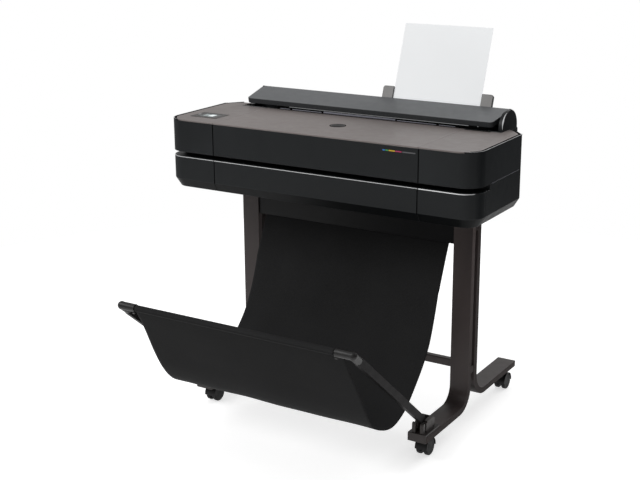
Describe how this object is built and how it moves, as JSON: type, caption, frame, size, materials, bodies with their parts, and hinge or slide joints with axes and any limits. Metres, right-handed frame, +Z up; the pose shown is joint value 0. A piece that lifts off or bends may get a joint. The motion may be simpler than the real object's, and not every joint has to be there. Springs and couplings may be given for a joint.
{
  "type": "large format plotter",
  "caption": "Wide inkjet plotter with a hinged lid window, roll bay and sheet feed, on a wheeled stand with a cloth catch basket.",
  "frame": {"origin": "on the floor, under the centre of the bounding box", "axes": "+X to the printer's right seen from the front, +Y to the rear, +Z up"},
  "size_m": [1.013, 0.9999, 1.146],
  "materials": {
    "charcoal_plastic": "fine-textured moulded plastic",
    "taupe_lid": "satin grey-brown lid skin",
    "grey_plastic": "fine-textured moulded plastic",
    "black_plastic": "moulded plastic",
    "screen": "lit colour display",
    "button": "satin",
    "stand_metal": "powder coat",
    "stand_plastic": "moulded plastic",
    "steel": "bare sheet steel",
    "rubber": "matte",
    "cloth": "black non-woven cloth",
    "paper": "uncoated white"
  },
  "bodies": {
    "printer": {"base_shell": "charcoal_plastic", "lower_front_cover": "charcoal_plastic", "lower_cover_left": "charcoal_plastic", "upper_cover_left": "charcoal_plastic", "upper_cover_right": "charcoal_plastic", "lid_ends": "taupe_lid", "display_bezel": "black_plastic", "display_screen": "screen", "rear_housing": "charcoal_plastic", "rear_tray": "charcoal_plastic", "end_arches": "charcoal_plastic", "power_inlet": "black_plastic", "sheet_guide_right": "grey_plastic", "paper_sheet": "paper", "side_frames": "steel", "carriage_rail": "steel", "guide_rod": "steel", "drive_belt": "rubber", "motors": "steel", "platen": "black_plastic", "ink_cartridges": "grey_plastic", "leg_front_left": "stand_metal", "leg_front_right": "stand_metal", "leg_rear_left": "stand_metal", "leg_rear_right": "stand_metal", "leg_spacers": "stand_metal", "cross_brace": "stand_metal", "header_beam": "black_plastic", "stand_plates": "stand_metal", "stand_bolts": "steel", "arm_socket_left": "stand_plastic", "arm_socket_right": "stand_plastic", "basket_cloth_rear": "cloth"},
    "window": {"window_front": "charcoal_plastic", "window_top": "taupe_lid"},
    "ink_door": {"ink_door": "charcoal_plastic"},
    "roll_cover": {"roll_cover": "grey_plastic"},
    "left_guide": {"sheet_guide_left": "grey_plastic"},
    "carriage": {"carriage": "black_plastic"},
    "drive_pulley": {"drive_pulley": "steel"},
    "idler_pulley": {"idler_pulley": "steel"},
    "feed_roller": {"feed_roller": "rubber"},
    "pinch_rollers": {"pinch_rollers": "rubber"},
    "cutter": {"cutter": "black_plastic"},
    "paper_roll": {"roll_spindle": "black_plastic", "paper_roll": "paper"},
    "power_button": {"power_button": "button"},
    "basket": {"basket_arm_left": "stand_metal", "basket_arm_right": "stand_metal", "basket_bar": "black_plastic", "bar_fittings": "stand_plastic", "basket_cloth_front": "cloth"},
    "caster_front_left": {"caster_hood_front_left": "black_plastic"},
    "wheels_front_left": {"caster_wheels_front_left": "rubber"},
    "caster_front_right": {"caster_hood_front_right": "black_plastic"},
    "wheels_front_right": {"caster_wheels_front_right": "rubber"},
    "caster_rear_left": {"caster_hood_rear_left": "black_plastic"},
    "wheels_rear_left": {"caster_wheels_rear_left": "rubber"},
    "caster_rear_right": {"caster_hood_rear_right": "black_plastic"},
    "wheels_rear_right": {"caster_wheels_rear_right": "rubber"}
  },
  "joints": [
    {"name": "window_hinge", "type": "hinge", "parent": "printer", "child": "window", "pos_m": [0, 0.194, 0.882], "axis": [-1, 0, 0], "range_deg": [0, 60]},
    {"name": "ink_door_hinge", "type": "hinge", "parent": "printer", "child": "ink_door", "pos_m": [0.4, -0.066, 0.684], "axis": [1, 0, 0], "range_deg": [0, 80]},
    {"name": "roll_cover_hinge", "type": "hinge", "parent": "printer", "child": "roll_cover", "pos_m": [0, 0.311, 0.928], "axis": [-1, 0, 0], "range_deg": [0, 70]},
    {"name": "left_guide_slide", "type": "slide", "parent": "printer", "child": "left_guide", "axis": [1, 0, 0], "range_m": [-0.32, 0]},
    {"name": "carriage_slide", "type": "slide", "parent": "printer", "child": "carriage", "axis": [1, 0, 0], "range_m": [-0.78, 0]},
    {"name": "drive_pulley_spin", "type": "hinge", "parent": "printer", "child": "drive_pulley", "pos_m": [0.475, 0.112, 0.868], "axis": [0, 0, 1], "range_deg": [-4500, 30]},
    {"name": "idler_pulley_spin", "type": "hinge", "parent": "printer", "child": "idler_pulley", "pos_m": [-0.475, 0.112, 0.868], "axis": [0, 0, 1], "range_deg": [-4500, 30]},
    {"name": "feed_roller_spin", "type": "hinge", "parent": "printer", "child": "feed_roller", "pos_m": [0, 0.075, 0.768], "axis": [1, 0, 0], "continuous": true},
    {"name": "pinch_roller_spin", "type": "hinge", "parent": "printer", "child": "pinch_rollers", "pos_m": [0, 0.075, 0.7883], "axis": [1, 0, 0], "continuous": true},
    {"name": "cutter_slide", "type": "slide", "parent": "printer", "child": "cutter", "axis": [1, 0, 0], "range_m": [0, 0.64]},
    {"name": "roll_spin", "type": "hinge", "parent": "printer", "child": "paper_roll", "pos_m": [0, 0.258, 0.846], "axis": [1, 0, 0], "continuous": true},
    {"name": "power_button_press", "type": "slide", "parent": "printer", "child": "power_button", "axis": [0, 0, -1], "range_m": [0, 0.001], "stiffness_N_per_m": 300},
    {"name": "basket_hinge", "type": "hinge", "parent": "printer", "child": "basket", "pos_m": [0, -0.092, 0.106], "axis": [-1, 0, 0], "range_deg": [0, 40]},
    {"name": "swivel_front_left", "type": "hinge", "parent": "printer", "child": "caster_front_left", "pos_m": [-0.367, -0.092, 0.05], "axis": [0, 0, 1], "continuous": true},
    {"name": "roll_front_left", "type": "hinge", "parent": "caster_front_left", "child": "wheels_front_left", "pos_m": [-0.367, -0.076, 0.025], "axis": [1, 0, 0], "continuous": true},
    {"name": "swivel_front_right", "type": "hinge", "parent": "printer", "child": "caster_front_right", "pos_m": [0.367, -0.092, 0.05], "axis": [0, 0, 1], "continuous": true},
    {"name": "roll_front_right", "type": "hinge", "parent": "caster_front_right", "child": "wheels_front_right", "pos_m": [0.367, -0.076, 0.025], "axis": [1, 0, 0], "continuous": true},
    {"name": "swivel_rear_left", "type": "hinge", "parent": "printer", "child": "caster_rear_left", "pos_m": [-0.367, 0.454, 0.05], "axis": [0, 0, 1], "continuous": true},
    {"name": "roll_rear_left", "type": "hinge", "parent": "caster_rear_left", "child": "wheels_rear_left", "pos_m": [-0.367, 0.47, 0.025], "axis": [1, 0, 0], "continuous": true},
    {"name": "swivel_rear_right", "type": "hinge", "parent": "printer", "child": "caster_rear_right", "pos_m": [0.367, 0.454, 0.05], "axis": [0, 0, 1], "continuous": true},
    {"name": "roll_rear_right", "type": "hinge", "parent": "caster_rear_right", "child": "wheels_rear_right", "pos_m": [0.367, 0.47, 0.025], "axis": [1, 0, 0], "continuous": true}
  ],
  "couplings": [
    {"joint": "drive_pulley_spin", "follows": "carriage_slide", "rad_per_m": 100},
    {"joint": "idler_pulley_spin", "follows": "carriage_slide", "rad_per_m": 100},
    {"joint": "pinch_roller_spin", "follows": "feed_roller_spin", "ratio": -1.5}
  ]
}
